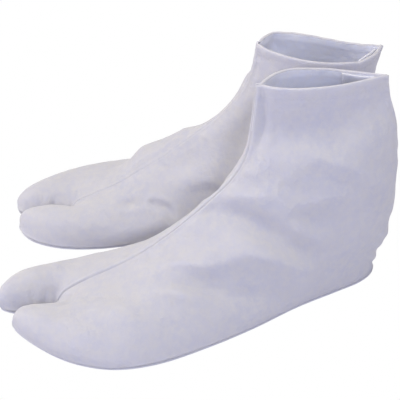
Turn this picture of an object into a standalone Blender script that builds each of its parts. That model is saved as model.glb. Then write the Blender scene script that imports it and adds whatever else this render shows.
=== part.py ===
# A pair of tabi, the split-toed ankle socks worn with sandals: white cotton, filled out as if
# worn, standing on their soles. Each sock is an outer panel (four toes), an inner panel (big
# toe), a flat sole with a notch between its two toe lobes, and the under-flap of the closure.
# Lengths in the tables are millimetres in the left sock's own frame: x out to the little-toe
# side, y forward from the back of the heel, z up. The right sock is its mirror image.

import bpy
import bmesh
import numpy as np

MM = 0.001
CLOTH = 1.5              # wall of the two panels, a doubled cotton cloth
HEM = 2.2                # wall at the top, where the edge is turned in
HEM_SECTIONS = 0.45      # how far down the hem reaches, in sections
SOLE_CLOTH = 1.8
SEAM_GAP = 0.3
FLOOR_LIFT = SOLE_CLOTH + SEAM_GAP       # height of the panels' edge, sewn on top of the sole's
FLAP_CLOTH = 1.2
FLAP_GAP = 0.6           # between the under-flap and the panel it lies behind
FLAP_SHARES = (0.70, 0.92)   # from and to which share of the inner panel's section it reaches
FLAP_SECTIONS = 3.0      # how far down the under-flap reaches, in sections
HEADING = 9.6            # degrees that each sock's toes turn out
SPRING_START = 195.0     # where the toes begin to lift, and over what length
SPRING_LENGTH = 55.0

SECTION_STEPS = 46       # faces from hem to toe tip
AROUND_STEPS = 20        # faces from front seam to the back or the sole

CAGE_SECTIONS = 3        # rows of the smoothed cage for each section of the tables
CAGE_AROUND = 24
EASE_PASSES = 14
EASE_MARGIN = 0.16       # share of the way round over which smoothing fades out at the seams

# Edge of the sole where a panel is sewn to it: from the back of the heel round the side to the
# lobe's tip, and back along the split to the notch.
SOLE_EDGE = {
    "outer": [(0, 0.5), (14, 4), (23, 18), (28, 40), (34.5, 70), (45, 104), (53, 139), (57, 171),
              (53, 197), (40, 220.5), (22.5, 239), (6, 250.5), (-3.5, 247), (-7, 233),
              (-9.3, 217)],
    "inner": [(0, 0.5), (-14, 4), (-24, 18), (-28, 40), (-27.5, 70), (-28.5, 105), (-34, 140),
              (-40, 172), (-44, 195), (-44, 220), (-37.5, 240), (-26, 250.5), (-17, 251),
              (-12.2, 242), (-11.4, 229), (-9.7, 217)],
}
LOBE_TIP = {"outer": 11, "inner": 12}     # which point of that edge is the lobe's tip
SIDE = {"outer": 1, "inner": -1}

# Profile of the back: heights and how far forward it lies there.
BACK = {
    "left": [(0, 0.5), (9, -6), (22, -11), (45, -13), (65, -13), (90, -10.5), (112, -5.5),
             (130, 1), (150, 4)],
    "right": [(0, 0.5), (9, -6), (22, -10), (45, -12), (65, -11), (85, -5), (105, 3),
              (117, 2), (131, -2), (150, -6)],
}

# Sections, from hem to toe. Each runs from the front seam to an end on the back seam (end_x at
# height end_z) or on the sole's edge (share of the way to the lobe's tip; from the split
# section on, the front end is on the sole's edge too, split of the way from notch to tip).
# crown and side are the handles of its curve at the seam and at its end, roll and over how
# high and how far out the curve stands before it turns under to the sole. A handle's x is
# outward on either panel.
SEAM = {
    "left": [(0, 89, 147), (0, 90, 125), (0, 93, 102), (-0.5, 102, 86), (-1, 118, 71.5),
             (-2, 134, 59), (-3.5, 149, 48), (-5, 165, 38.5), (-7, 180.5, 31)],
    "right": [(0, 85, 137), (0, 88, 117), (0, 94.5, 101), (-0.5, 104.5, 88.7), (-1, 121, 74),
              (-2, 136.5, 62), (-3.5, 151, 51), (-5, 166.5, 41.5), (-7, 181, 32.5)],
    "both": [(-8.5, 197.5, 25), (-9.2, 211, 18), (-9.5, 216, 9), (-9.5, 217, FLOOR_LIFT)],
}
LEG_COLUMNS = ("end_x", "end_z", "crown_x", "crown_y", "side_x", "side_y")
LEG = {
    ("left", "outer"): [(8.5, 144, 26, -17, 2, 8), (8, 121, 30, -8, 28, 6),
                        (4, 95, 40, 0, 40, 0)],
    ("left", "inner"): [(8.5, 144, 12, -20, 45, 58), (8, 121, 36, -6, 28, 8),
                        (4, 95, 40, 0, 40, 0)],
    ("right", "outer"): [(10, 131, 44, -14, 1, 36), (7, 110, 38, -8, 24, 10),
                         (3, 90, 40, -1, 40, 0)],
    ("right", "inner"): [(10, 131, 19, -1, 60, 20), (7, 110, 32, -6, 50, 10),
                         (3, 90, 40, 0, 42, 0)],
}
FOOT_COLUMNS = ("end_z", "share", "split", "crown_x", "crown_y", "crown_z", "side_x", "side_y",
                "side_z", "roll", "over", "split_roll", "split_over")
FOOT = {
    "outer": [
        (62, 0.000, 0.00, 37, 0, 0, 50, -3, 5, 0, 0, 0, 0),
        (28, 0.000, 0.00, 32, 0, 0, 57, -5, 20, 0, 0, 0, 0),
        (2.1, 0.000, 0.00, 29, 0, 0, 62, -7, 40, 0.5, 0.5, 0, 0),
        (0, 0.120, 0.00, 32, 0, 0, 21, -3, 41, 3, 1.5, 0, 0),
        (0, 0.300, 0.00, 31, 0, 0, 6, 0, 36, 5, 2, 0, 0),
        (0, 0.480, 0.00, 28, 0, 2, 2, 0, 26, 6, 3, 0, 0),
        (0, 0.630, 0.00, 27, 0, 6, 0, 0, 20, 6, 3, 0, 0),
        (0, 0.740, 0.00, 22, 2, 15, 0, 0, 18, 6, 3, 0, 0),
        (0, 0.790, 0.00, 10, 7, 24.5, 0, 0, 18, 6, 3, 0, 0),
        (0, 0.830, 0.00, 3, 5, 31, 0, 0, 18, 6, 3, 1, 0),
        (0, 0.890, 0.33, 0, 2, 28, 0, 0, 18, 6, 3, 3, 0.3),
        (0, 0.945, 0.68, 0, 0, 19.5, 0, 0, 15, 6, 3, 4, 1.0),
        (0, 0.982, 0.91, 0, 0, 11, 0, 0, 9, 5, 2.5, 4, 1.5),
        (0, 0.997, 0.985, 0, 0, 5, 0, 0, 4, 2.5, 1, 2.5, 1),
    ],
    "inner": [
        (62, 0.000, 0.00, 36, 0, 0, 50, -3, 5, 0, 0, 0, 0),
        (28, 0.000, 0.00, 31, 0, 0, 55, -5, 20, 0, 0, 0, 0),
        (2.1, 0.000, 0.00, 28, 0, 0, 60, -7, 40, 0.5, 0.5, 0, 0),
        (0, 0.120, 0.00, 29, 0, 0, 21, -3, 40, 3, 1.5, 0, 0),
        (0, 0.290, 0.00, 27, 0, 0, 6, 0, 36, 5, 2, 0, 0),
        (0, 0.460, 0.00, 22, 0, 2, 2, 0, 28, 6, 3, 0, 0),
        (0, 0.610, 0.00, 21, 0, 6, 0, 0, 22, 6, 3, 0, 0),
        (0, 0.710, 0.00, 18, 2, 15, 0, 0, 19, 6, 3, 0, 0),
        (0, 0.760, 0.00, 9, 7, 27, 0, 0, 19, 6, 3, 0, 0),
        (0, 0.800, 0.00, 3, 5, 34, 0, 0, 19, 6, 3, 1, 0),
        (0, 0.870, 0.33, 0, 2, 32, 0, 0, 18, 6, 3, 3, 0.3),
        (0, 0.935, 0.68, 0, 0, 23, 0, 0, 16, 6, 3, 4, 1.0),
        (0, 0.980, 0.91, 0, 0, 12, 0, 0, 10, 5, 2.5, 4, 1.5),
        (0, 0.997, 0.985, 0, 0, 5, 0, 0, 4, 2.5, 1, 2.5, 1),
    ],
}
LAST = len(LEG["left", "outer"]) + len(FOOT["outer"]) - 1

# Largest folds: from section and share of the way round, to the same, their half width, and
# how far they stand out (negative is a trough).
FOLDS = {
    ("left", "outer"): [
        (3.75, 0.07, 5.25, 0.53, 8.0, -3.5), (4.25, 0.18, 6.00, 0.69, 9.0, 3.0),
        (7.50, 0.34, 7.25, 0.53, 7.0, -2.0), (7.25, 0.53, 6.25, 0.47, 8.0, -2.0),
        (6.25, 0.47, 6.25, 0.75, 10.0, -2.5), (8.45, 0.53, 8.20, 0.59, 7.0, -1.5),
        (2.00, 0.28, 2.50, 0.69, 8.0, -2.5), (1.50, 0.20, 1.60, 0.55, 9.0, 2.0),
        (3.75, 0.34, 3.50, 0.59, 7.0, -1.5), (0.60, 0.15, 0.80, 0.80, 10.0, -1.5),
        (4.00, 0.80, 4.00, 0.94, 8.0, -1.5),
    ],
    ("left", "inner"): [
        (3.90, 0.10, 5.60, 0.50, 9.0, -2.5), (4.60, 0.20, 6.30, 0.60, 9.0, 2.5),
        (2.00, 0.35, 2.60, 0.70, 9.0, -2.0), (7.80, 0.40, 6.80, 0.60, 8.0, -2.0),
        (0.70, 0.20, 0.80, 0.70, 10.0, -1.2),
    ],
    ("right", "outer"): [
        (5.85, 0.18, 7.50, 0.24, 17.5, 13.0), (0.00, 0.25, 1.00, 0.27, 8.0, 4.0),
        (1.85, 0.14, 4.25, 0.16, 11.0, 5.0),
        (3.60, 0.38, 5.20, 0.68, 9.0, -2.5), (4.60, 0.56, 6.00, 0.78, 9.0, 2.0),
        (2.00, 0.40, 2.50, 0.75, 9.0, -2.0), (8.00, 0.55, 7.20, 0.72, 8.0, -2.0),
    ],
    ("right", "inner"): [
        (9.00, 0.44, 8.25, 0.50, 6.5, -2.5), (8.25, 0.50, 8.50, 0.75, 6.5, -2.5),
        (9.30, 0.60, 8.80, 0.66, 7.5, 2.5), (7.00, 0.34, 6.25, 0.38, 8.0, -2.5),
        (5.75, 0.11, 5.25, 0.18, 9.0, 1.5), (2.00, 0.08, 4.00, 0.25, 10.0, -2.5),
        (0.00, 0.69, 1.20, 0.69, 8.0, 2.5), (2.20, 0.45, 2.80, 0.75, 9.0, -2.0),
    ],
}
SOCKS = {
    "left": {"mirror": 1, "heel_x": 27, "heel_y": 115, "spring": 8.0, "stretch": -3.5},
    "right": {"mirror": -1, "heel_x": 27, "heel_y": 131, "spring": 2.0, "stretch": 5.5},
}


def spline(points, at):
    """Points on a Catmull-Rom curve through the given ones, one for each unit of at."""
    p = np.asarray(points, float)
    ends = np.vstack([2 * p[:1] - p[1:2], p, 2 * p[-1:] - p[-2:-1]])
    at = np.clip(at, 0, len(p) - 1)
    i = np.minimum(at.astype(int), len(p) - 2)
    t = (at - i)[:, None]
    a, b, c, d = (ends[i + k] for k in range(4))
    return 0.5 * (2 * b + (c - a) * t + (2 * a - 5 * b + 4 * c - d) * t**2
                  + (3 * b - a - 3 * c + d) * t**3)


def sole_edge(side):
    """The edge as a fine polyline, its running length, and the length at the lobe's tip."""
    points = SOLE_EDGE[side]
    at = np.linspace(0, len(points) - 1, 1500)
    line = spline(points, at)
    length = np.r_[0, np.cumsum(np.linalg.norm(np.diff(line, axis=0), axis=1))]
    return line, length, np.interp(LOBE_TIP[side], at, length)


def along(line, length, where):
    return np.stack([np.interp(where, length, line[:, k]) for k in range(2)], 1)


def edge_point(side, where):
    """Point of the sole's edge at a running length, and its outward normal."""
    line, length, _ = sole_edge(side)
    step = along(line, length, where + 1.5) - along(line, length, where - 1.5)
    step /= np.linalg.norm(step, axis=1)[:, None]
    out = SIDE[side] * np.stack([step[:, 1], -step[:, 0], 0 * where], 1)
    return along(line, length, where), out


def section_controls(sock, side, u):
    """Ends, corners and handles of the sections at u."""
    sign = SIDE[side]
    leg = np.array(LEG[sock, side], float)
    foot = np.array(FOOT[side], float)
    seam = np.array(SEAM[sock] + SEAM["both"], float)
    seam = np.vstack([seam, np.repeat(seam[-1:], LAST + 1 - len(seam), 0)])
    zero = np.zeros(len(leg))
    table = {name: np.r_[zero, foot[:, k]] for k, name in enumerate(FOOT_COLUMNS)}
    table["end_x"] = np.r_[leg[:, 0], np.zeros(len(foot))]
    for k, name in enumerate(LEG_COLUMNS):
        if name != "end_x":
            table[name] = np.r_[leg[:, k], table[name][len(leg):]]
    row = {name: spline(values[:, None], u)[:, 0] for name, values in table.items()}
    front = spline(seam, u)
    line, length, tip = sole_edge(side)
    split = np.clip(row["split"], 0, 1)
    where = length[-1] + (tip - length[-1]) * split
    rim, split_out = edge_point(side, where)
    on_edge = (split > 1e-6)[:, None]
    front[:, :2] = np.where(on_edge, rim, front[:, :2] + [sign * SEAM_GAP / 2, 0])
    front[:, 2] = np.maximum(front[:, 2], FLOOR_LIFT)
    rim, out = edge_point(side, tip * np.clip(row["share"], 0, 1))
    high = row["end_z"] > FLOOR_LIFT + 1e-6
    back = np.array(BACK[sock], float)
    back_y = spline(back, np.interp(row["end_z"], back[:, 0], np.arange(len(back))))[:, 1]
    end = np.stack([np.where(high, row["end_x"], rim[:, 0]), np.where(high, back_y, rim[:, 1]),
                    np.where(high, row["end_z"], FLOOR_LIFT)], 1)
    end[:, 0] += np.where(row["share"] < 0.01, sign * SEAM_GAP / 2, 0)
    up = np.array([0, 0, 1.0])
    corner = end + out * row["over"][:, None] + up * row["roll"][:, None]
    split_corner = (front + split_out * row["split_over"][:, None]
                    + up * row["split_roll"][:, None])
    crown = np.stack([sign * row["crown_x"], row["crown_y"], row["crown_z"]], 1)
    reach = np.stack([sign * row["side_x"], row["side_y"], row["side_z"]], 1)
    return front, split_corner, crown, reach, corner, end


def quarter(start, stop, rise, turn):
    """Quarter ellipse from start to stop that leaves along rise and arrives along turn."""
    return start[:, None] + rise[:, None] * np.sin(turn) + (stop - start - rise)[:, None] * (
        1 - np.cos(turn))


def base_surface(sock, side, u, v):
    """Sections at u, each a cubic curve with a rolled corner, read at shares v of its length."""
    front, first, crown, reach, last, end = section_controls(sock, side, u)
    turn = np.linspace(0, np.pi / 2, 30)[None, :, None]
    t = np.linspace(0, 1, 120)[None, :, None]
    flat = (first - front) * [1, 1, 0]
    start = quarter(front, first, flat, turn)
    body = (first[:, None] * (1 - t)**3 + 3 * (first + crown)[:, None] * t * (1 - t)**2
            + 3 * (last + reach)[:, None] * t**2 * (1 - t) + last[:, None] * t**3)
    drop = (end - last) * [0, 0, 1]
    finish = quarter(last, end, drop, turn)
    curve = np.concatenate([start, body, finish], 1)
    length = np.cumsum(np.linalg.norm(np.diff(curve, axis=1), axis=2), 1)
    share = np.concatenate([np.zeros((len(u), 1)), length / length[:, -1:]], 1)
    points = np.empty((len(u), len(v), 3))
    for i in range(len(u)):
        for k in range(3):
            points[i, :, k] = np.interp(v, share[i], curve[i, :, k])
    return points


def eased_surface(sock, side, u, v):
    """The sections as a cage, each inner point drawn to its neighbours' mean, then read between
    its points by splines along and across."""
    cage_u = np.linspace(0, LAST, CAGE_SECTIONS * LAST + 1)
    cage_v = np.linspace(0, 1, CAGE_AROUND + 1)
    cage = base_surface(sock, side, cage_u, cage_v)
    ease = np.clip(np.minimum(cage_v, 1 - cage_v) / EASE_MARGIN, 0, 1)[1:-1, None]
    for _ in range(EASE_PASSES):
        mean = (cage[:-2, 1:-1] + cage[2:, 1:-1] + cage[1:-1, :-2] + cage[1:-1, 2:]) / 4
        cage[1:-1, 1:-1] += ease * (mean - cage[1:-1, 1:-1])
    rows = spline(cage.reshape(len(cage_u), -1), u * CAGE_SECTIONS)
    columns = rows.reshape(len(u), len(cage_v), 3).transpose(1, 0, 2)
    ends = section_controls(sock, side, u)
    columns[0], columns[-1] = ends[0], ends[-1]
    points = spline(columns.reshape(len(cage_v), -1), v * CAGE_AROUND)
    return points.reshape(len(v), len(u), 3).transpose(1, 0, 2)


def normals(points, side):
    """Outward unit normals of a grid of points."""
    along_u = np.gradient(points, axis=0)
    along_v = np.gradient(points, axis=1)
    n = -SIDE[side] * np.cross(along_u, along_v)
    return n / (np.linalg.norm(n, axis=2, keepdims=True) + 1e-12)


def folded(points, sock, side, u, v):
    """The points moved out or in by the folds, which fade out at the seams."""
    shift = np.zeros(points.shape[:2])
    for start_u, start_v, end_u, end_v, width, out in FOLDS[sock, side]:
        ends = [eased_surface(sock, side, np.array([a]), np.array([b]))[0, 0]
                for a, b in ((start_u, start_v), (end_u, end_v))]
        span = ends[1] - ends[0]
        t = np.clip((points - ends[0]) @ span / (span @ span), 0, 1)
        gap = np.linalg.norm(points - ends[0] - t[..., None] * span, axis=2)
        shift += out * np.exp(-(gap / width)**2)
    fade = np.clip(np.minimum(v / 0.06, (1 - v) / 0.06), 0, 1)
    return points + normals(points, side) * (shift * fade * fade * (3 - 2 * fade))[..., None]


def placed(points, sock):
    """From the sock's own frame, in millimetres, to its place in the pair, in metres. The toes
    lift a little, and the four-toe lobe is longer on one sock than on the other."""
    s = SOCKS[sock]
    x, y, z = np.moveaxis(np.asarray(points, float), -1, 0)
    notch_x, notch_y, _ = SEAM["both"][-1]
    z = z + s["spring"] * np.clip((y - SPRING_START) / SPRING_LENGTH, 0, None)**2
    past = np.clip((y - notch_y) / (SPRING_START + SPRING_LENGTH - notch_y), 0, None)
    y = y + np.where(x > notch_x, s["stretch"], 0) * past**1.5
    turn = np.radians(HEADING)
    across = s["heel_x"] + x * np.cos(turn) + y * np.sin(turn)
    back = s["heel_y"] + x * np.sin(turn) - y * np.cos(turn)
    return np.stack([s["mirror"] * across, back, z], -1) * MM


def panel_grids(sock):
    """Outer and inner points of both panels' walls; at a seam both use the same bisector."""
    u = np.linspace(0, LAST, SECTION_STEPS + 1)
    v = np.linspace(0, 1, AROUND_STEPS + 1)
    face = {side: folded(eased_surface(sock, side, u, v), sock, side, u, v) for side in SIDE}
    n = {side: normals(face[side], side) for side in SIDE}
    on_seam = u <= len(SEAM[sock]) + len(SEAM["both"]) - 1 + 1e-9
    on_back = u <= len(LEG[sock, "outer"]) + 2 + 1e-9
    for column, shared in ((0, on_seam), (-1, on_back)):
        both = n["outer"][:, column] + n["inner"][:, column]
        both /= np.linalg.norm(both, axis=1)[:, None]
        for side in SIDE:
            mitre = np.clip((both * n[side][:, column]).sum(1), 0.6, 1)[:, None]
            n[side][shared, column] = (both / mitre)[shared]
            n[side][~shared, column] = (0, 0, -1)
    wall = CLOTH + (HEM - CLOTH) * np.clip(1.5 - u / HEM_SECTIONS, 0, 1)
    inside = {side: face[side] - n[side] * wall[:, None, None] for side in SIDE}
    return u, v, face, inside, n


def closed_wall(name, outside, inside, tip=None):
    """Closed mesh between two grids; with a tip, their last rows run together into its points."""
    rows, cols = outside.shape[:2]
    bm = bmesh.new()
    grids = [[[bm.verts.new(p) for p in row] for row in grid] for grid in (outside, inside)]
    for g, grid in enumerate(grids):
        for i in range(rows - 1):
            for j in range(cols - 1):
                quad = [grid[i][j], grid[i + 1][j], grid[i + 1][j + 1], grid[i][j + 1]]
                bm.faces.new(quad if g == 0 else quad[::-1])
    out, ins = grids
    for i in range(rows - 1):
        for j, flip in ((0, False), (cols - 1, True)):
            quad = [out[i][j], ins[i][j], ins[i + 1][j], out[i + 1][j]]
            bm.faces.new(quad[::-1] if flip else quad)
    for j in range(cols - 1):
        bm.faces.new([out[0][j], out[0][j + 1], ins[0][j + 1], ins[0][j]])
    if tip is None:
        for j in range(cols - 1):
            bm.faces.new([out[-1][j], ins[-1][j], ins[-1][j + 1], out[-1][j + 1]])
    else:
        far, near = (bm.verts.new(p) for p in tip)
        for j in range(cols - 1):
            bm.faces.new([out[-1][j], far, out[-1][j + 1]])
            bm.faces.new([ins[-1][j], ins[-1][j + 1], near])
        bm.faces.new([out[-1][0], ins[-1][0], near, far])
        bm.faces.new([out[-1][-1], far, near, ins[-1][-1]])
    bmesh.ops.recalc_face_normals(bm, faces=bm.faces)
    mesh = bpy.data.meshes.new(name)
    bm.to_mesh(mesh)
    bm.free()
    return mesh


def sole_mesh(name, sock, u):
    """Sole cut just inside the panels' edges, cut across where the toes lift, then thickened."""
    outline = []
    for side in ("outer", "inner"):
        _, length, tip = sole_edge(side)
        row = section_controls(sock, side, u)
        front, end = row[0], row[5]
        low = end[:, 2] < FLOOR_LIFT + 1e-6
        lobe = u > len(SEAM[sock]) + len(SEAM["both"]) - 1 + 1e-9
        tip_point, _ = edge_point(side, np.array([tip]))
        ring = np.vstack([end[low][:, :2], tip_point, front[lobe][::-1][:, :2]])
        outline.append(ring)
    notch = np.array([SEAM["both"][-1][:2]])
    ring = np.vstack([outline[0], notch, outline[1][::-1]])
    before, after = np.roll(ring, 1, 0), np.roll(ring, -1, 0)
    step = after - before
    step /= np.linalg.norm(step, axis=1)[:, None]
    ring = ring + SEAM_GAP * np.stack([-step[:, 1], step[:, 0]], 1)
    bm = bmesh.new()
    base = bm.faces.new([bm.verts.new((x, y, 0)) for x, y in ring])
    for y in np.arange(SPRING_START, SPRING_START + SPRING_LENGTH, 5):
        bmesh.ops.bisect_plane(bm, geom=bm.verts[:] + bm.edges[:] + bm.faces[:],
                               plane_co=(0, y, 0), plane_no=(0, 1, 0), dist=1e-4)
    bmesh.ops.recalc_face_normals(bm, faces=bm.faces)
    made = bmesh.ops.extrude_face_region(bm, geom=bm.faces[:])
    for vert in (e for e in made["geom"] if isinstance(e, bmesh.types.BMVert)):
        vert.co.z += SOLE_CLOTH
    co = placed(np.array([v.co for v in bm.verts]), sock)
    for vert, p in zip(bm.verts, co):
        vert.co = p
    bmesh.ops.recalc_face_normals(bm, faces=bm.faces)
    mesh = bpy.data.meshes.new(name)
    bm.to_mesh(mesh)
    bm.free()
    return mesh


def flap_mesh(name, sock, u, v, inside, n):
    """Under-flap: the inner panel's inside points near the back, moved in by a gap."""
    rows = u <= FLAP_SECTIONS + 1e-9
    cols = (v > FLAP_SHARES[0] - 1e-9) & (v < FLAP_SHARES[1])
    near = inside["inner"][rows][:, cols] - n["inner"][rows][:, cols] * FLAP_GAP
    far = near - n["inner"][rows][:, cols] * FLAP_CLOTH
    return closed_wall(name, placed(near, sock), placed(far, sock))


def cotton(name, colour, roughness):
    material = bpy.data.materials.new(name)
    material.use_nodes = True
    shader = material.node_tree.nodes["Principled BSDF"]
    shader.inputs["Base Color"].default_value = (*colour, 1)
    shader.inputs["Roughness"].default_value = roughness
    shader.inputs["Metallic"].default_value = 0.0
    return material


def clear_scene():
    for thing in list(bpy.data.objects):
        bpy.data.objects.remove(thing, do_unlink=True)


def add_object(mesh, material, collection):
    mesh.materials.append(material)
    thing = bpy.data.objects.new(mesh.name, mesh)
    collection.objects.link(thing)
    return thing


def build_sock(sock, materials, collection):
    u, v, face, inside, n = panel_grids(sock)
    made = []
    for side in SIDE:
        _, _, tip_at = sole_edge(side)
        point, out = edge_point(side, np.array([tip_at]))
        far = np.array([*point[0], FLOOR_LIFT])
        near = far - out[0] * CLOTH + [0, 0, CLOTH]
        mesh = closed_wall(f"{sock}_{side}_panel", placed(face[side], sock),
                           placed(inside[side], sock), placed(np.array([far, near]), sock))
        made.append(add_object(mesh, materials["panel"], collection))
    made.append(add_object(sole_mesh(f"{sock}_sole", sock, u), materials["sole"], collection))
    flap = flap_mesh(f"{sock}_closure_flap", sock, u, v, inside, n)
    made.append(add_object(flap, materials["flap"], collection))
    return made


def centre_on_floor(made):
    """Moves the meshes so that the pair's box is centred on the origin and stands on z = 0."""
    co = np.array([v.co for thing in made for v in thing.data.vertices])
    low, high = co.min(0), co.max(0)
    middle = (low + high) / 2
    for thing in made:
        for vert in thing.data.vertices:
            vert.co.x -= middle[0]
            vert.co.y -= middle[1]
            vert.co.z -= low[2]


def main():
    clear_scene()
    collection = bpy.data.collections.new("tabi_socks")
    bpy.context.scene.collection.children.link(collection)
    materials = {
        "panel": cotton("white cotton twill", (0.72, 0.72, 0.78), 0.85),
        "sole": cotton("white cotton sole", (0.70, 0.70, 0.74), 0.9),
        "flap": cotton("white cotton lining", (0.68, 0.68, 0.74), 0.9),
    }
    made = []
    for sock in SOCKS:
        made += build_sock(sock, materials, collection)
    centre_on_floor(made)


main()
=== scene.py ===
import math
import bmesh
import bpy
import numpy as np
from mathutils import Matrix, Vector


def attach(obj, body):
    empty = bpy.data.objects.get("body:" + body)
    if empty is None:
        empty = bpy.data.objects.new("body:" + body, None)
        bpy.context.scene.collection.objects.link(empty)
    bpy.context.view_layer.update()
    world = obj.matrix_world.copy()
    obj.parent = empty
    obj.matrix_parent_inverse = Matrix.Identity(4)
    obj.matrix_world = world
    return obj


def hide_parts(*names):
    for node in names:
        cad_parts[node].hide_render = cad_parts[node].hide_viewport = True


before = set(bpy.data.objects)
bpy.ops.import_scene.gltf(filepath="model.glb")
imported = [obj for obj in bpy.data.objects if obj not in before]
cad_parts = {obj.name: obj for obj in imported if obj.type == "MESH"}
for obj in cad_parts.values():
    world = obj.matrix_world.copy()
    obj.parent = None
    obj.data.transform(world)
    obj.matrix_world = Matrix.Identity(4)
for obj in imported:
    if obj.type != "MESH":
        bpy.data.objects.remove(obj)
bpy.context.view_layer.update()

mm = 0.001
print("frame loaded:", ", ".join(sorted(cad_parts)))

# The pair of tabi: each sock is an outer panel (four toes), an inner panel (big toe), a sole and
# the under-flap of the back closure. Tables are millimetres in the left sock's own frame:
# x out to the little-toe side, y forward from the back of the heel, z up.

clothSizes = {
    "wall": 1.5, "hemWall": 2.2, "hemReach": 0.45,      # panel wall, at the turned hem, and how far down
    "sole": 1.8, "flap": 1.2, "gap": 0.3,
    "flapShares": (0.70, 0.92), "flapReach": 3.0,       # of the inner panel's section, and sections down
}
# place of the socks in the pair: toes turned out in degrees, toes lifted by spring over the last stretch,
# the heel's place, and how much longer the four-toe lobe is
place = {
    "turnOut": 9.6, "springFrom": 195.0, "springOver": 55.0,
    "left": {"mirror": 1, "heel": (27, 115), "spring": 8.0, "stretch": -3.5},
    "right": {"mirror": -1, "heel": (27, 131), "spring": 2.0, "stretch": 5.5},
    "centre": (0.0, 2.83),
}
grid = {
    "sections": 250, "around": 128, "crowding": 0.7,    # crowding: columns closer together beside the seams
    "cageSections": 3, "cageAround": 24, "eased": 14, "easeMargin": 0.16,
    "edgeSteps": 1500, "rollSteps": 30, "crownSteps": 120,
}
floorLift = clothSizes["sole"] + clothSizes["gap"]

side = {"outer": 1, "inner": -1}
# the sole's edge from the heel round to the notch as x and y, and which point is the lobe's tip
soleEdgePoints = {
    "outer": [(0, 0.5), (14, 4), (23, 18), (28, 40), (34.5, 70), (45, 104), (53, 139), (57, 171),
              (53, 197), (40, 220.5), (22.5, 239), (6, 250.5), (-3.5, 247), (-7, 233), (-9.3, 217)],
    "inner": [(0, 0.5), (-14, 4), (-24, 18), (-28, 40), (-27.5, 70), (-28.5, 105), (-34, 140),
              (-40, 172), (-44, 195), (-44, 220), (-37.5, 240), (-26, 250.5), (-17, 251),
              (-12.2, 242), (-11.4, 229), (-9.7, 217)],
}
lobeTip = {"outer": 11, "inner": 12}
# height and y of the back seam; then x, y and z of the front seam, and of its end in the split
backLine = {
    "left": [(0, 0.5), (9, -6), (22, -11), (45, -13), (65, -13), (90, -10.5), (112, -5.5), (130, 1), (150, 4)],
    "right": [(0, 0.5), (9, -6), (22, -10), (45, -12), (65, -11), (85, -5), (105, 3), (117, 2), (131, -2),
              (150, -6)],
}
frontSeam = {
    "left": [(0, 89, 147), (0, 90, 125), (0, 93, 102), (-0.5, 102, 86), (-1, 118, 71.5),
             (-2, 134, 59), (-3.5, 149, 48), (-5, 165, 38.5), (-7, 180.5, 31)],
    "right": [(0, 85, 137), (0, 88, 117), (0, 94.5, 101), (-0.5, 104.5, 88.7), (-1, 121, 74),
              (-2, 136.5, 62), (-3.5, 151, 51), (-5, 166.5, 41.5), (-7, 181, 32.5)],
}
splitSeam = [(-8.5, 197.5, 25), (-9.2, 211, 18), (-9.5, 216, 9), (-9.5, 217, floorLift)]
# legTable: end x and height on the back seam, crown handle x and y, side handle x and y
legTable = {
    ("left", "outer"): [(8.5, 144, 26, -17, 2, 8), (8, 121, 30, -8, 28, 6), (4, 95, 40, 0, 40, 0)],
    ("left", "inner"): [(8.5, 144, 12, -20, 45, 58), (8, 121, 36, -6, 28, 8), (4, 95, 40, 0, 40, 0)],
    ("right", "outer"): [(10, 131, 44, -14, 1, 36), (7, 110, 38, -8, 24, 10), (3, 90, 40, -1, 40, 0)],
    ("right", "inner"): [(10, 131, 19, -1, 60, 20), (7, 110, 32, -6, 50, 10), (3, 90, 40, 0, 42, 0)],
}
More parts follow.
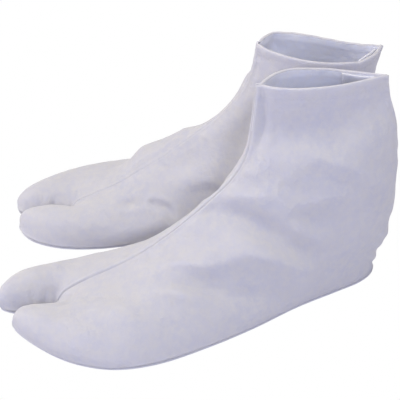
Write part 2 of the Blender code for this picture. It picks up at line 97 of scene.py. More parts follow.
# footTable: end height, share of the sole's edge, share of the split, crown handle x y z, side handle
# x y z, roll and over at the sole, roll and over at the split
footTable = {
    "outer": [
        (62, 0, 0, 37, 0, 0, 50, -3, 5, 0, 0, 0, 0),
        (28, 0, 0, 32, 0, 0, 57, -5, 20, 0, 0, 0, 0),
        (2.1, 0, 0, 29, 0, 0, 62, -7, 40, 0.5, 0.5, 0, 0),
        (0, 0.12, 0, 32, 0, 0, 21, -3, 41, 3, 1.5, 0, 0),
        (0, 0.3, 0, 31, 0, 0, 6, 0, 36, 5, 2, 0, 0),
        (0, 0.48, 0, 28, 0, 2, 2, 0, 26, 6, 3, 0, 0),
        (0, 0.63, 0, 27, 0, 6, 0, 0, 20, 6, 3, 0, 0),
        (0, 0.74, 0, 22, 2, 15, 0, 0, 18, 6, 3, 0, 0),
        (0, 0.79, 0, 10, 7, 24.5, 0, 0, 18, 6, 3, 0, 0),
        (0, 0.83, 0, 3, 5, 31, 0, 0, 18, 6, 3, 1, 0),
        (0, 0.89, 0.33, 0, 2, 28, 0, 0, 18, 6, 3, 3, 0.3),
        (0, 0.945, 0.68, 0, 0, 19.5, 0, 0, 15, 6, 3, 4, 1),
        (0, 0.982, 0.91, 0, 0, 11, 0, 0, 9, 5, 2.5, 4, 1.5),
        (0, 0.997, 0.985, 0, 0, 5, 0, 0, 4, 2.5, 1, 2.5, 1),
    ],
    "inner": [
        (62, 0, 0, 36, 0, 0, 50, -3, 5, 0, 0, 0, 0),
        (28, 0, 0, 31, 0, 0, 55, -5, 20, 0, 0, 0, 0),
        (2.1, 0, 0, 28, 0, 0, 60, -7, 40, 0.5, 0.5, 0, 0),
        (0, 0.12, 0, 29, 0, 0, 21, -3, 40, 3, 1.5, 0, 0),
        (0, 0.29, 0, 27, 0, 0, 6, 0, 36, 5, 2, 0, 0),
        (0, 0.46, 0, 22, 0, 2, 2, 0, 28, 6, 3, 0, 0),
        (0, 0.61, 0, 21, 0, 6, 0, 0, 22, 6, 3, 0, 0),
        (0, 0.71, 0, 18, 2, 15, 0, 0, 19, 6, 3, 0, 0),
        (0, 0.76, 0, 9, 7, 27, 0, 0, 19, 6, 3, 0, 0),
        (0, 0.8, 0, 3, 5, 34, 0, 0, 19, 6, 3, 1, 0),
        (0, 0.87, 0.33, 0, 2, 32, 0, 0, 18, 6, 3, 3, 0.3),
        (0, 0.935, 0.68, 0, 0, 23, 0, 0, 16, 6, 3, 4, 1),
        (0, 0.98, 0.91, 0, 0, 12, 0, 0, 10, 5, 2.5, 4, 1.5),
        (0, 0.997, 0.985, 0, 0, 5, 0, 0, 4, 2.5, 1, 2.5, 1),
    ],
}
lastSection = len(legTable["left", "outer"]) + len(footTable["outer"]) - 1
splitSection = len(frontSeam["left"]) + len(splitSeam) - 1     # from here the front end is on the split
heelSection = len(legTable["left", "outer"]) + 2               # down to here the back end is on the back seam


def spline(points, at):
    # Catmull-Rom: each stretch is a cubic that leaves and arrives along half the step between neighbours
    p = np.asarray(points, float)
    ends = np.vstack([2 * p[:1] - p[1:2], p, 2 * p[-1:] - p[-2:-1]])
    at = np.clip(at, 0, len(p) - 1)
    i = np.minimum(at.astype(int), len(p) - 2)
    t = (at - i)[:, None]
    a, b, c, d = (ends[i + k] for k in range(4))
    return 0.5 * (2 * b + (c - a) * t + (2 * a - 5 * b + 4 * c - d) * t**2 + (3 * b - a - 3 * c + d) * t**3)


def soleEdge(which):
    # edge of the sole as a fine line, with its running length and the length at the lobe's tip
    points = soleEdgePoints[which]
    at = np.linspace(0, len(points) - 1, grid["edgeSteps"])
    line = spline(points, at)
    length = np.r_[0, np.cumsum(np.linalg.norm(np.diff(line, axis=0), axis=1))]
    return line, length, np.interp(lobeTip[which], at, length)


def edgePoint(which, where):
    # point of that edge at a running length, and the outward normal: the step over 3 mm, turned square
    line, length, _ = soleEdge(which)
    read = lambda w: np.stack([np.interp(w, length, line[:, k]) for k in range(2)], 1)
    step = read(where + 1.5) - read(where - 1.5)
    step /= np.linalg.norm(step, axis=1)[:, None]
    return read(where), side[which] * np.stack([step[:, 1], -step[:, 0], 0 * where], 1)


def sectionParts(sock, which, u):
    # ends, corners and handles of the sections at u, read from the tables by splines; while the share of
    # the split is 0 the front end is on the front seam, and above the sole the back end is on the back seam
    sign = side[which]
    leg = np.array(legTable[sock, which], float)
    foot = np.array(footTable[which], float)
    seam = np.array(frontSeam[sock] + splitSeam, float)
    seam = np.vstack([seam, np.repeat(seam[-1:], lastSection + 1 - len(seam), 0)])
    rows = np.zeros((lastSection + 1, 14))
    rows[len(leg):, :13] = foot
    rows[:len(leg), 0] = leg[:, 1]
    rows[:len(leg), [3, 4, 6, 7]] = leg[:, 2:]
    rows[:len(leg), 13] = leg[:, 0]
    r = spline(rows, u)
    front = spline(seam, u)
    _, length, tip = soleEdge(which)
    split = np.clip(r[:, 2], 0, 1)
    rim, splitOut = edgePoint(which, length[-1] + (tip - length[-1]) * split)
    front[:, :2] = np.where((split > 1e-6)[:, None], rim, front[:, :2] + [sign * clothSizes["gap"] / 2, 0])
    front[:, 2] = np.maximum(front[:, 2], floorLift)
    rim, out = edgePoint(which, tip * np.clip(r[:, 1], 0, 1))
    high = r[:, 0] > floorLift + 1e-6
    back = np.array(backLine[sock], float)
    backY = spline(back, np.interp(r[:, 0], back[:, 0], np.arange(len(back))))[:, 1]
    end = np.stack([np.where(high, r[:, 13], rim[:, 0]), np.where(high, backY, rim[:, 1]),
                    np.where(high, r[:, 0], floorLift)], 1)
    end[:, 0] += np.where(r[:, 1] < 0.01, sign * clothSizes["gap"] / 2, 0)
    up = np.array([0, 0, 1.0])
    corner = end + out * r[:, 10:11] + up * r[:, 9:10]
    splitCorner = front + splitOut * r[:, 12:13] + up * r[:, 11:12]
    crown = np.stack([sign * r[:, 3], r[:, 4], r[:, 5]], 1)
    reach = np.stack([sign * r[:, 6], r[:, 7], r[:, 8]], 1)
    return front, splitCorner, crown, reach, corner, end


def quarter(start, stop, rise, turn):
    # quarter ellipse that leaves along rise and arrives along the rest of the way
    return start[:, None] + rise[:, None] * np.sin(turn) + (stop - start - rise)[:, None] * (1 - np.cos(turn))


def sectionPoints(sock, which, u, v):
    # each section: a cubic curve over the crown, with a rolled corner at each end, read by its length
    front, first, crown, reach, last, end = sectionParts(sock, which, u)
    turn = np.linspace(0, np.pi / 2, grid["rollSteps"])[None, :, None]
    t = np.linspace(0, 1, grid["crownSteps"])[None, :, None]
    body = (first[:, None] * (1 - t)**3 + 3 * (first + crown)[:, None] * t * (1 - t)**2
            + 3 * (last + reach)[:, None] * t**2 * (1 - t) + last[:, None] * t**3)
    curve = np.concatenate([quarter(front, first, (first - front) * [1, 1, 0], turn), body,
                            quarter(last, end, (end - last) * [0, 0, 1], turn)], 1)
    length = np.cumsum(np.linalg.norm(np.diff(curve, axis=1), axis=2), 1)
    share = np.concatenate([np.zeros((len(u), 1)), length / length[:, -1:]], 1)
    return np.array([[np.interp(v, share[i], curve[i, :, k]) for k in range(3)]
                     for i in range(len(u))]).transpose(0, 2, 1)


def panelSurface(sock, which, u, v):
    # a cage of sections, eased by drawing each point to its neighbours' mean, then splined both ways
    n, m = grid["cageSections"], grid["cageAround"]
    cageU, cageV = np.linspace(0, lastSection, n * lastSection + 1), np.linspace(0, 1, m + 1)
    cage = sectionPoints(sock, which, cageU, cageV)
    ease = np.clip(np.minimum(cageV, 1 - cageV) / grid["easeMargin"], 0, 1)[1:-1, None]
    for _ in range(grid["eased"]):
        mean = (cage[:-2, 1:-1] + cage[2:, 1:-1] + cage[1:-1, :-2] + cage[1:-1, 2:]) / 4
        cage[1:-1, 1:-1] += ease * (mean - cage[1:-1, 1:-1])
    rows = spline(cage.reshape(len(cageU), -1), u * n)
    columns = rows.reshape(len(u), m + 1, 3).transpose(1, 0, 2)
    parts = sectionParts(sock, which, u)
    columns[0], columns[-1] = parts[0], parts[5]
    points = spline(columns.reshape(m + 1, -1), v * m)
    return points.reshape(len(v), len(u), 3).transpose(1, 0, 2)


def outward(points, which):
    # unit normal: the cross product of the steps along and across
    n = -side[which] * np.cross(np.gradient(points, axis=0), np.gradient(points, axis=1))
    return n / (np.linalg.norm(n, axis=2, keepdims=True) + 1e-12)


def intoPair(points, sock):
    # from the sock's own frame to its place in the pair: lifted toes, longer or shorter four-toe lobe,
    # turned out, set beside the other sock, in metres about the middle of the pair
    s = place[sock]
    x, y, z = np.moveaxis(np.asarray(points, float), -1, 0)
    notchX, notchY, _ = splitSeam[-1]
    z = z + s["spring"] * np.clip((y - place["springFrom"]) / place["springOver"], 0, None)**2
    past = np.clip((y - notchY) / (place["springFrom"] + place["springOver"] - notchY), 0, None)
    y = y + np.where(x > notchX, s["stretch"], 0) * past**1.5
    turn = math.radians(place["turnOut"])
    across = s["heel"][0] + x * np.cos(turn) + y * np.sin(turn)
    back = s["heel"][1] + x * np.sin(turn) - y * np.cos(turn)
    return np.stack([s["mirror"] * across - place["centre"][0], back - place["centre"][1], z], -1) * mm


# foldTable: half width and height in mm (negative is a trough), plump (a soft ridge on both sides, as a
# share of the height), strength at the two ends of the line, and the line of (section, share) points
foldTable = {
    ("left", "outer"): [
        (7.0, -5.4, 0.2, 0.55, [(4.17, 0.04), (4.22, 0.196), (4.99, 0.405), (5.41, 0.562)]),
        (13.0, 10.6, 0, 0.55, [(7.65, 0.282), (7.25, 0.289), (6.43, 0.324), (5.9, 0.362), (5.86, 0.466),
                               (6.11, 0.625)]),
        (6.7, -3.2, 0, 0.55, [(7.51, 0.354), (7.63, 0.434), (7.49, 0.564), (7.54, 0.672), (7.07, 0.856)]),
        (6.9, 5.2, 0, 0.55, [(8.47, 0.449), (7.98, 0.608)]),
        (7.3, 1.9, 0, 0.55, [(8.85, 0.493), (8.61, 0.601), (8.37, 0.703)]),
        (6.5, 2.5, 0, 0.55, [(3.38, 0.087), (3.12, 0.214), (3.52, 0.304), (4.36, 0.42), (4.82, 0.522)]),
        (4.7, 1.3, 0, 0.55, [(3.42, 0.315), (3.07, 0.41), (2.86, 0.607)]),
        (6.0, -1.7, 0, 0.55, [(3.72, 0.342), (3.72, 0.443), (3.57, 0.622)]),
        (5.0, 1.8, 0, 0.55, [(1.74, 0.377), (2.02, 0.552), (2.64, 0.732)]),
        (4.5, -1.1, 0, 0.55, [(2.23, 0.371), (2.53, 0.515), (2.96, 0.715)]),
        (4.1, 1.0, 0, 0.55, [(2.64, 0.03), (2.36, 0.141)]),
        (4.1, -1.3, 0, 0.55, [(3.12, 0.057), (2.96, 0.156)]),
        (7.3, -0.5, 0, 0.55, [(1.51, 0.1), (1.46, 0.34), (1.42, 0.523), (1.13, 0.701)]),
        (14.9, -9.0, 0, 0.55, [(1.13, 0.09), (1.09, 0.261), (0.98, 0.541), (0.69, 0.766)]),
        (4.3, -1.1, 0.2, 0.55, [(3.92, 0.953), (3.84, 0.789)]),
        (3.0, 1.0, 0, 0.55, [(4.22, 0.971), (4.32, 0.83)]),
        (3.2, -1.6, 0.2, 0.55, [(4.76, 0.963), (5.02, 0.829)]),
        (3.3, 1.2, 0, 0.55, [(4.98, 0.958), (5.13, 0.877)]),
        (9.1, 1.7, 0, 0.55, [(4.95, 0.097), (5.13, 0.217), (5.39, 0.359)]),
        (10.2, 5.0, 0, 0.55, [(9.71, 0.441), (9.13, 0.646)]),
        (3.0, -1.6, 0.2, 0.55, [(9.92, 0.094), (10.5, 0.242), (11.1, 0.304)]),
        (4.2, -2.0, 0, 0.55, [(8.42, 0.508), (8.33, 0.567), (8.25, 0.658)]),
        (4.0, -1.7, 0, 0.55, [(7.25, 0.28), (7.25, 0.367), (7.3, 0.46)]),
        (3.0, -0.9, 0.2, 0.55, [(6.92, 0.083), (6.67, 0.125), (6.58, 0.183)]),
    ],
    ("left", "inner"): [
        (7.0, -2.6, 0.25, 0.55, [(3.9, 0.08), (4.7, 0.28), (5.6, 0.5)]),
        (8.0, 2.4, 0, 0.55, [(4.6, 0.2), (5.5, 0.4), (6.3, 0.62)]),
        (6.5, -1.8, 0.2, 0.55, [(2.0, 0.35), (2.3, 0.5), (2.6, 0.7)]),
        (5.5, -2.2, 0.2, 0.55, [(7.8, 0.4), (7.2, 0.5), (6.8, 0.62)]),
        (9.0, -1.2, 0, 0.55, [(0.7, 0.2), (0.8, 0.7)]),
        (2.6, -0.4, 0.2, 0.55, [(13.0, 0.15), (13.0, 0.3)]),
        (2.6, -1.2, 0.2, 0.55, [(12.6, 0.06), (12.1, 0.2)]),
        (2.4, -0.9, 0.2, 0.55, [(11.9, 0.05), (11.4, 0.16)]),
        (2.4, -0.5, 0.2, 0.55, [(11.3, 0.05), (11.0, 0.14)]),
    ],
    ("right", "outer"): [
        (17.5, 13.0, 0, 1, [(5.85, 0.18), (6.7, 0.21), (7.5, 0.24)]),
        (11.0, 5.0, 0, 1, [(1.85, 0.14), (3.0, 0.15), (4.25, 0.16)]),
        (6.0, 4.0, 0, 0.55, [(0, 0.25), (1.0, 0.27)]),
        (6.5, -2.6, 0.25, 0.55, [(3.6, 0.38), (4.4, 0.52), (5.2, 0.68)]),
        (7.0, 2.0, 0, 0.55, [(4.6, 0.56), (5.3, 0.66), (6.0, 0.78)]),
        (6.0, -1.8, 0.2, 0.55, [(2.0, 0.4), (2.2, 0.56), (2.5, 0.75)]),
        (5.5, -2.2, 0.2, 0.55, [(8.0, 0.5), (7.6, 0.6), (7.2, 0.72)]),
        (2.4, -0.4, 0.2, 0.55, [(13.3, 0.17), (13.2, 0.29)]),
        (2.6, -1.2, 0.2, 0.55, [(12.9, 0.07), (12.5, 0.22)]),
        (2.4, -0.5, 0.2, 0.55, [(12.3, 0.1), (12.1, 0.2)]),
    ],
    ("right", "inner"): [
        (3.6, -2.0, 0.2, 0.55, [(8.95, 0.38), (8.55, 0.41)]),
        (2.8, -2.6, 0.3, 0.55, [(8.3, 0.46), (8.3, 0.57), (8.45, 0.7)]),
        (9.0, 4.5, 0, 0.55, [(9.8, 0.84), (9.2, 0.8), (8.7, 0.8), (8.2, 0.84)]),
        (5.0, -1.3, 0.2, 0.55, [(7.0, 0.405), (6.62, 0.458)]),
        (8.0, 1.5, 0, 0.55, [(6.89, 0.245), (6.08, 0.272)]),
        (9.0, -2.4, 0, 0.55, [(5.99, 0.1), (4.91, 0.12)]),
        (11.0, -5.0, 0, 0.55, [(1.83, 0.175), (3.06, 0.18), (4.6, 0.24)]),
        (6.0, 2.5, 0, 0.55, [(0, 0.69), (1.2, 0.69)]),
        (6.0, -1.8, 0.2, 0.55, [(2.2, 0.45), (2.5, 0.6), (2.8, 0.75)]),
        (3.0, -1.0, 0.2, 0.55, [(9.9, 0.08), (10.8, 0.22), (11.5, 0.34)]),
    ],
}


foldSteps, plumpAt, plumpWidth = 28, 1.75, 0.8      # points along a line; plump ridges, in half widths


def foldRelief(points, sock, which):
    # a smooth bell across each fold's line, fading in and out along it, with a plump ridge each side
    relief = np.zeros(points.shape[:2])
    flat = points.reshape(-1, 3)
    for width, height, plump, low, line in foldTable[sock, which]:
        knots = np.array([panelSurface(sock, which, np.array([float(a)]), np.array([float(b)]))[0, 0]
                          for a, b in line])
        path = spline(knots, np.linspace(0, len(knots) - 1, foldSteps))
        gap = np.full(len(flat), 1e9)
        where = np.zeros(len(flat))
        for k, (a, b) in enumerate(zip(path[:-1], path[1:])):
            span = b - a
            t = np.clip((flat - a) @ span / (span @ span), 0, 1)
            d = np.linalg.norm(flat - a - t[:, None] * span, axis=1)
            near = d < gap
            gap[near], where[near] = d[near], ((k + t) / (len(path) - 1))[near]
        ends = low + (1 - low) * np.sin(np.pi * np.clip(where, 0, 1))
        bell = np.exp(-(gap / width)**2)
        bell -= plump * np.exp(-((gap - plumpAt * width) / (plumpWidth * width))**2)
        relief += (height * ends * bell).reshape(relief.shape)
    return relief


unevenness = {"waves": 7, "pitches": (0.6, 1.9), "directions": 10, "lengths": (0.7, 1.8), "gain": 1.9}


def waver(where, seed, reach):
    # smooth unevenness along a length: the mean of sines of random pitch and phase, about -1 to 1
    rng = np.random.default_rng(seed)
    pitch = reach * rng.uniform(*unevenness["pitches"], unevenness["waves"])
    phase = rng.uniform(0, 2 * np.pi, unevenness["waves"])
    return np.sin(2 * np.pi * where[..., None] / pitch + phase).mean(-1) * unevenness["gain"]


def softRelief(points, seed, reach):
    # the mean of sines along random directions of space, for the slight unevenness of cloth that has
    # been washed and worn
    rng = np.random.default_rng(seed)
    total = np.zeros(points.shape[:2])
    for _ in range(unevenness["directions"]):
        direction = rng.normal(size=3)
        direction /= np.linalg.norm(direction)
        length = reach * rng.uniform(*unevenness["lengths"])
        total += np.sin(points @ direction * 2 * np.pi / length + rng.uniform(0, 6.28))
    return total / unevenness["directions"] * unevenness["gain"]


# mm: height, place beside the seam, half width, and pitch along it
seams = {
    "groove": 0.95, "grooveWidth": 0.75,                # how far the cloth dips into a seam
    "ridge": 0.45, "ridgeAt": 1.8, "ridgeWidth": 1.2,   # turnings pressed to both sides under the cloth
    "pucker": 0.14, "puckerAt": 4, "puckerPitch": 9.0, "puckerReach": 8.0,
    "strip": 0.3, "stripWide": 3.3, "stripSlope": 0.8,  # turnings stitched flat beside the leg's front seam
    "dip": 0.45, "dipAt": 5.6, "dipWidth": 2.2, "dipPitch": 3.1, "gather": 0.6,
    "stripEnd": 2.6,                                    # section where strip and dip have faded out
    "hemLine": 4.2, "hemDip": 0.22, "hemSharp": 4, "hemStitchAt": 1.35,     # the last two in hem lines
    "soft": 0.45, "softReach": 26.0, "fine": 0.14, "fineReach": 8.5,
    "calm": 7,                                          # folds fade out this near to a seam
    "seed": {"left": 11, "right": 29}, "fineSeed": 5, "backSeed": 3,
    "quietTip": 1.2,                                    # sections before the lobe's tip without relief
}


def runLength(points, axis):
    # running length along the grid's rows or columns
    step = np.linalg.norm(np.diff(points, axis=axis), axis=2)
    pad = [(1, 0), (0, 0)] if axis == 0 else [(0, 0), (1, 0)]
    return np.pad(np.cumsum(step, axis), pad)


leastMitre = 0.6        # the sharpest corner that a seam's normal makes up for


def panelWalls(sock):
    # outside and inside points of both panels: each point moves along its normal by the sum of folds,
    # unevenness, hem, seams and puckers, and the inside lies a wall's thickness behind it
    u = np.linspace(0, lastSection, grid["sections"] + 1)
    t = np.linspace(0, 1, grid["around"] + 1)
    v = t - grid["crowding"] * np.sin(2 * np.pi * t) / (2 * np.pi)
    face = {w: panelSurface(sock, w, u, v) for w in side}
    onSeam, onBack = u <= splitSection + 1e-9, u <= heelSection + 1e-9

    def normals():
        # on a shared seam both panels take the mean of their normals, longer by the mitre; at the sole
        # and the split the edge points down
        n = {w: outward(face[w], w) for w in side}
        for column, shared in ((0, onSeam), (-1, onBack)):
            both = n["outer"][:, column] + n["inner"][:, column]
            both /= np.linalg.norm(both, axis=1)[:, None]
            for w in side:
                mitre = np.clip((both * n[w][:, column]).sum(1), leastMitre, 1)[:, None]
                n[w][shared, column] = (both / mitre)[shared]
                n[w][~shared, column] = (0, 0, -1)
        return n

    n = normals()
    s = seams
    seed = s["seed"][sock]
    for w in side:
        p = face[w]
        across, along = runLength(p, 1), runLength(p, 0)
        toBack = across[:, -1:] - across
        relief = foldRelief(p, sock, w) + s["soft"] * softRelief(p, seed + side[w], s["softReach"])
        relief += s["fine"] * softRelief(p, seed + s["fineSeed"] + side[w], s["fineReach"])
        fade = np.clip(np.minimum(across, toBack) / s["calm"], 0, 1)
        relief *= fade * fade * (3 - 2 * fade)
        hem = along / s["hemLine"]
        relief -= s["hemDip"] * np.exp(-((hem - 1) * s["hemSharp"])**2)
        for d, shared, column, ownSeed in ((across, onSeam, 0, 0), (toBack, onBack, -1, s["backSeed"])):
            where = along[:, column]
            puckers = waver(where, seed + ownSeed, s["puckerPitch"])[:, None]
            seamOn = np.where(shared, 1.0, 0.0)[:, None]
            relief -= seamOn * s["groove"] * np.exp(-(d / s["grooveWidth"])**2)
            relief += s["ridge"] * np.exp(-((d - s["ridgeAt"]) / s["ridgeWidth"])**2)
            if column == 0:     # a flat raised strip, then a dip that the stitches gather evenly
                onStrip = np.clip(s["stripEnd"] - u, 0, 1)[:, None]
                gather = 1 + s["gather"] * np.sin(2 * np.pi * where / s["dipPitch"])[:, None]
                slope = s["stripSlope"]
                edge = np.clip((s["stripWide"] - d) / slope + 0.5, 0, 1) * np.clip(d / slope, 0, 1)
                relief += onStrip * s["strip"] * edge * edge * (3 - 2 * edge)
                relief -= onStrip * s["dip"] * gather * np.exp(-((d - s["dipAt"]) / s["dipWidth"])**2)
            relief += (s["pucker"] * puckers * np.exp(-((d - s["puckerAt"]) / s["puckerReach"])**2)
                       * np.clip(d / 2, 0, 1))
        tip = np.clip((lastSection - u) / s["quietTip"], 0, 1)[:, None]
        face[w] = p + n[w] * (relief * tip)[..., None]
    n = normals()
    c = clothSizes
    inHem = np.clip(1.5 - u / c["hemReach"], 0, 1)     # half faded at the hem's lower edge
    wall = c["wall"] + (c["hemWall"] - c["wall"]) * inHem
    inside = {w: face[w] - n[w] * roomInside(face[w], n[w], w, u, wall)[..., None] for w in side}
    return u, v, face, inside, n


thin = {"least": 0.3, "spare": 0.1, "leastSlant": 0.25}     # mm, mm, and a cosine


def roomInside(points, n, which, u, wall):
    # wall thickness: where the two panels come together at a seam it thins to what lies between the
    # surface and the plane from seam to seam, which is (P - F) . m over the slant n . m of the way in
    chord = points[:, -1] - points[:, 0]
    chord /= np.linalg.norm(chord, axis=1)[:, None]
    m = np.array([side[which], 0, 0.0]) - side[which] * chord[:, :1] * chord
    m /= np.linalg.norm(m, axis=1)[:, None]
    room = ((points - points[:, :1]) * m[:, None]).sum(-1)
    slant = np.clip((n * m[:, None]).sum(-1), thin["leastSlant"], 1)
    thick = np.clip((room + thin["spare"]) / slant, thin["least"], wall[:, None])
    onLeg = np.clip(heelSection + 0.5 - u, 0, 1)[:, None]     # only where both panels meet at the back
    return wall[:, None] + (thick - wall[:, None]) * onLeg


foldedEdge = {"steps": 5, "height": 0.8}     # rings over the fold, and its height in half thicknesses


def closedCloth(name, outside, inside, tip=None):
    # two grids joined all round; the top edge is a half ellipse, middle + half cos a + up sin a, and with
    # a tip the last rows run together in one point outside and one inside
    rows, cols = outside.shape[:2]
    middle, half = (outside[0] + inside[0]) / 2, (outside[0] - inside[0]) / 2
    up = outside[0] - outside[1]
    up *= np.linalg.norm(half, axis=1)[:, None] / np.linalg.norm(up, axis=1)[:, None]
    angle = np.linspace(0, np.pi, foldedEdge["steps"] + 2)[1:-1, None, None]
    fold = middle + half * np.cos(angle) + up * np.sin(angle) * foldedEdge["height"]
    points = np.concatenate([outside[::-1], fold, inside])     # one long grid: up outside, over, down inside
    index = np.arange(len(points) * cols).reshape(-1, cols)
    quads = np.stack([index[:-1, :-1], index[:-1, 1:], index[1:, 1:], index[1:, :-1]], -1).reshape(-1, 4)
    middleRow = rows + foldedEdge["steps"] // 2
    edges = []
    for column, flip in ((0, False), (cols - 1, True)):
        one, two = index[:middleRow + 1, column][::-1], index[middleRow:, column]
        m = min(len(one), len(two))
        band = np.stack([one[:m - 1], one[1:m], two[1:m], two[:m - 1]], -1)
        edges.append(band[:, ::-1] if flip else band)
    vertices = [points.reshape(-1, 3)]
    faces = [f.tolist() for f in [quads, *edges]]
    if tip is None:
        faces.append(np.stack([index[0, :-1], index[-1, :-1], index[-1, 1:], index[0, 1:]], -1).tolist())
    else:
        far, near = index.size, index.size + 1
        vertices.append(np.asarray(tip))
        for j in range(cols - 1):
            faces.append([[index[0, j], far, index[0, j + 1]], [index[-1, j], index[-1, j + 1], near]])
        faces.append([[index[0, 0], index[-1, 0], near, far], [index[0, -1], far, near, index[-1, -1]]])
    faces = [list(dict.fromkeys(f)) for group in faces for f in group]     # a corner used twice: a triangle
    return makePiece(name, np.concatenate(vertices), faces), index, points


def makePiece(name, vertices, faces):
    # a smooth mesh object at the origin, with all faces outwards
    mesh = bpy.data.meshes.new(name)
    mesh.from_pydata(np.asarray(vertices).tolist(), [], faces)
    mesh.validate()
    piece = bpy.data.objects.new(name, mesh)
    bpy.context.scene.collection.objects.link(piece)
    mesh.polygons.foreach_set("use_smooth", np.ones(len(mesh.polygons), bool))
    faceOutwards(mesh)
    return piece


def faceOutwards(mesh):
    # turns the faces' order so that all normals point out
    b = bmesh.new()
    b.from_mesh(mesh)
    bmesh.ops.recalc_face_normals(b, faces=b.faces)
    b.to_mesh(mesh)
    b.free()
    mesh.update()


def addUv(piece, index, across, along):
    # cloth coordinates in metres: across the panel and along it, so the weave follows the surface
    mesh = piece.data
    coordinates = np.zeros((len(mesh.vertices), 2))
    coordinates[:index.size, 0], coordinates[:index.size, 1] = across.ravel(), along.ravel()
    loops = np.zeros(len(mesh.loops), int)
    mesh.loops.foreach_get("vertex_index", loops)
    layer = mesh.uv_layers.new(name="weave")
    layer.data.foreach_set("uv", coordinates[loops].ravel())


# sRGB hex colours; through is the light that shows through the cloth, thread its pitch in mm
shades = {
    "panel": {"base": "#C5C3C7", "worn": "#BFBEC5", "warm": "#C9C6C5", "through": 0.6, "roughness": 0.86,
              "thread": 0.62, "weaveDepth": 0.10, "fuzzDepth": 0.4, "crumple": 0.5, "sheen": 0.18},
    # lining: much paler than the panel cloth, painted light that brightens the shaded inside of the sock
    "lining": {"base": "#E8E9EF", "worn": "#E1E2EA", "warm": "#EAE9EA", "through": 0.6, "roughness": 0.9,
               "thread": 0.7, "weaveDepth": 0.10, "fuzzDepth": 0.4, "crumple": 0.5, "sheen": 0.15},
    # flap: paler than the panel cloth, painted light for the under-flap that lies in shade inside the leg
    "flap": {"base": "#DEDDE3", "worn": "#D6D5DD", "warm": "#E0DEDD", "through": 0.6, "roughness": 0.9,
             "thread": 0.7, "weaveDepth": 0.10, "fuzzDepth": 0.4, "crumple": 0.5, "sheen": 0.15},
    # sole: paler than the panel cloth, painted light that keeps its shaded edge under the panels faint
    "sole": {"base": "#D2D0D5", "worn": "#CAC8CE", "warm": "#D4D2D2", "through": 0.2, "roughness": 0.92,
             "thread": 0.9, "weaveDepth": 0.16, "fuzzDepth": 0.3, "crumple": 0.2, "sheen": 0.12},
    "thread": {"base": "#CCCACF", "worn": "#C4C2C8", "warm": "#CECCCC", "through": 0.2, "roughness": 0.7,
               "thread": 0.25, "weaveDepth": 0.05, "fuzzDepth": 0.05, "crumple": 0.0, "sheen": 0.1},
    "floor": {"base": "#DEDEE4", "roughness": 0.9},
}
# noises of the cloth: scale a metre, detail, roughness; bumps: distance in metres
noises = {"broad": (38.0, 3.0, 0.55), "middle": (190.0, 4.0, 0.7), "small": (420.0, 4.0, 0.6),
          "crumple": (130.0, 3.0, 0.55), "slub": (1500.0, 160.0, 1.0)}
bumps = {"thread": 0.0002, "slubStrength": 0.12, "fuzz": 0.0006, "crumple": 0.0016}


def linear(hexColour):
    # sRGB hex to linear RGBA: c / 12.92 below 0.04045, else ((c + 0.055) / 1.055) to the power 2.4
    c = np.array([int(hexColour[i:i + 2], 16) / 255 for i in (1, 3, 5)])
    return (*np.where(c <= 0.04045, c / 12.92, ((c + 0.055) / 1.055)**2.4), 1.0)


def addNode(tree, kind, settings=None, links=None):
    # adds a node, sets its properties and sockets, and links sockets to the outputs given
    node = tree.nodes.new(kind)
    for key, value in (settings or {}).items():
        if isinstance(key, int) or key in node.inputs.keys():
            node.inputs[key].default_value = value
        else:
            setattr(node, key, value)
    for key, output in (links or {}).items():
        tree.links.new(output, node.inputs[key])
    return node


